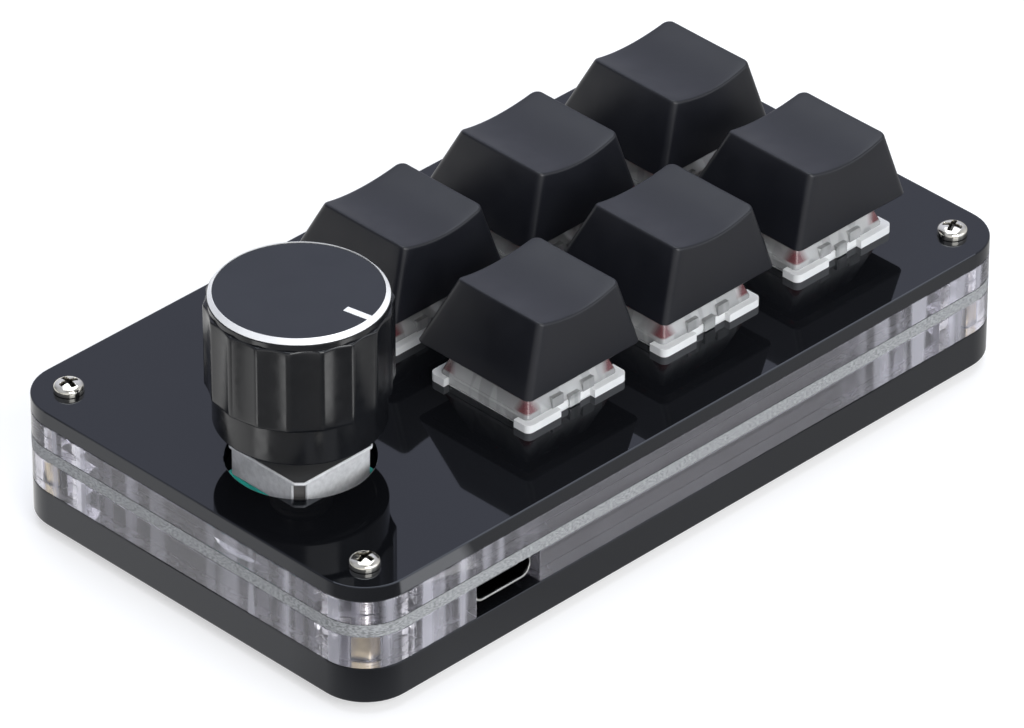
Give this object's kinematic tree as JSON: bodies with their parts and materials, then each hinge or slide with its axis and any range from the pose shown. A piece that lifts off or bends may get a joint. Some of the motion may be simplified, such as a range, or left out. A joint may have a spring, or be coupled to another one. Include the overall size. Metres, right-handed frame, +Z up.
{
  "type": "macro keypad with knob",
  "caption": "Desk keypad of layered acrylic with sprung keys and a knob that turns and pushes; a cable port opens in one long side.",
  "frame": {"origin": "under the middle of the pad, on the surface that its rubber feet stand on", "axes": "+X along the long side from the knob end to the far keys, -Y out of the long side with the port, +Z up"},
  "size_m": [0.1024, 0.0568, 0.0386],
  "materials": {
    "black_acrylic": "polished black acrylic sheet with satin sawn edges",
    "clear_acrylic": "clear acrylic sheet with polished faces and laser-cut edges",
    "board": "black solder mask with pale routed edges",
    "rubber": "matt black rubber",
    "nickel": "nickel-plated steel, satin",
    "brass": "turned brass",
    "contact_metal": "gold-flashed bronze",
    "teal_plastic": "moulded teal plastic",
    "dark_plastic": "moulded black plastic",
    "knob_plastic": "black plastic with a soft gloss",
    "knob_face": "fine-turned aluminium, anodised black",
    "bright_aluminium": "diamond-cut bright aluminium",
    "milky_plastic": "milky translucent plastic",
    "clear_plastic": "clear moulded plastic",
    "stem_plastic": "red moulded plastic",
    "spring_steel": "drawn spring wire",
    "keycap_plastic": "black plastic with a fine satin texture",
    "ceramic_parts": "sintered ceramic chips"
  },
  "bodies": {
    "root": {"top_plate": "black_acrylic", "upper_frame": "clear_acrylic", "circuit_board": "board", "lower_frame": "clear_acrylic", "base_plate": "black_acrylic", "rubber_feet": "rubber", "top_screws": "nickel", "bottom_screws": "nickel", "spacers": "brass", "switch_contacts": "contact_metal", "encoder_base": "teal_plastic", "encoder_shell": "nickel", "encoder_bushing": "nickel", "encoder_pins": "contact_metal", "push_dome": "nickel", "port_shell": "nickel", "port_tongue": "dark_plastic", "controller_chip": "dark_plastic", "board_parts": "ceramic_parts", "switch_base_1": "milky_plastic", "switch_cover_1": "clear_plastic", "key_spring_1": "spring_steel", "switch_base_2": "milky_plastic", "switch_cover_2": "clear_plastic", "key_spring_2": "spring_steel", "switch_base_3": "milky_plastic", "switch_cover_3": "clear_plastic", "key_spring_3": "spring_steel", "switch_base_4": "milky_plastic", "switch_cover_4": "clear_plastic", "key_spring_4": "spring_steel", "switch_base_5": "milky_plastic", "switch_cover_5": "clear_plastic", "key_spring_5": "spring_steel", "switch_base_6": "milky_plastic", "switch_cover_6": "clear_plastic", "key_spring_6": "spring_steel"},
    "key_1": {"keycap_1": "keycap_plastic", "switch_stem_1": "stem_plastic"},
    "key_2": {"keycap_2": "keycap_plastic", "switch_stem_2": "stem_plastic"},
    "key_3": {"keycap_3": "keycap_plastic", "switch_stem_3": "stem_plastic"},
    "key_4": {"keycap_4": "keycap_plastic", "switch_stem_4": "stem_plastic"},
    "key_5": {"keycap_5": "keycap_plastic", "switch_stem_5": "stem_plastic"},
    "key_6": {"keycap_6": "keycap_plastic", "switch_stem_6": "stem_plastic"},
    "rotor": {"encoder_rotor": "dark_plastic"},
    "knob": {"knob_shaft": "nickel", "knob_body": "knob_plastic", "knob_disc": "knob_face", "knob_ring": "bright_aluminium", "knob_pointer": "bright_aluminium"}
  },
  "joints": [
    {"name": "key_1_press", "type": "slide", "parent": "root", "child": "key_1", "axis": [0, 0, -1], "range_m": [0, 0.0038], "stiffness_N_per_m": 80, "springref_m": -0.005, "deforming": ["key_spring_1"]},
    {"name": "key_2_press", "type": "slide", "parent": "root", "child": "key_2", "axis": [0, 0, -1], "range_m": [0, 0.0038], "stiffness_N_per_m": 80, "springref_m": -0.005, "deforming": ["key_spring_2"]},
    {"name": "key_3_press", "type": "slide", "parent": "root", "child": "key_3", "axis": [0, 0, -1], "range_m": [0, 0.0038], "stiffness_N_per_m": 80, "springref_m": -0.005, "deforming": ["key_spring_3"]},
    {"name": "key_4_press", "type": "slide", "parent": "root", "child": "key_4", "axis": [0, 0, -1], "range_m": [0, 0.0038], "stiffness_N_per_m": 80, "springref_m": -0.005, "deforming": ["key_spring_4"]},
    {"name": "key_5_press", "type": "slide", "parent": "root", "child": "key_5", "axis": [0, 0, -1], "range_m": [0, 0.0038], "stiffness_N_per_m": 80, "springref_m": -0.005, "deforming": ["key_spring_5"]},
    {"name": "key_6_press", "type": "slide", "parent": "root", "child": "key_6", "axis": [0, 0, -1], "range_m": [0, 0.0038], "stiffness_N_per_m": 80, "springref_m": -0.005, "deforming": ["key_spring_6"]},
    {"name": "knob_turn", "type": "hinge", "parent": "root", "child": "rotor", "pos_m": [-0.0369, -0.00365, 0.0168], "axis": [0, 0, 1], "continuous": true},
    {"name": "knob_push", "type": "slide", "parent": "rotor", "child": "knob", "axis": [0, 0, -1], "range_m": [0, 0.0005], "stiffness_N_per_m": 3000, "springref_m": -0.001, "deforming": ["push_dome"]}
  ]
}
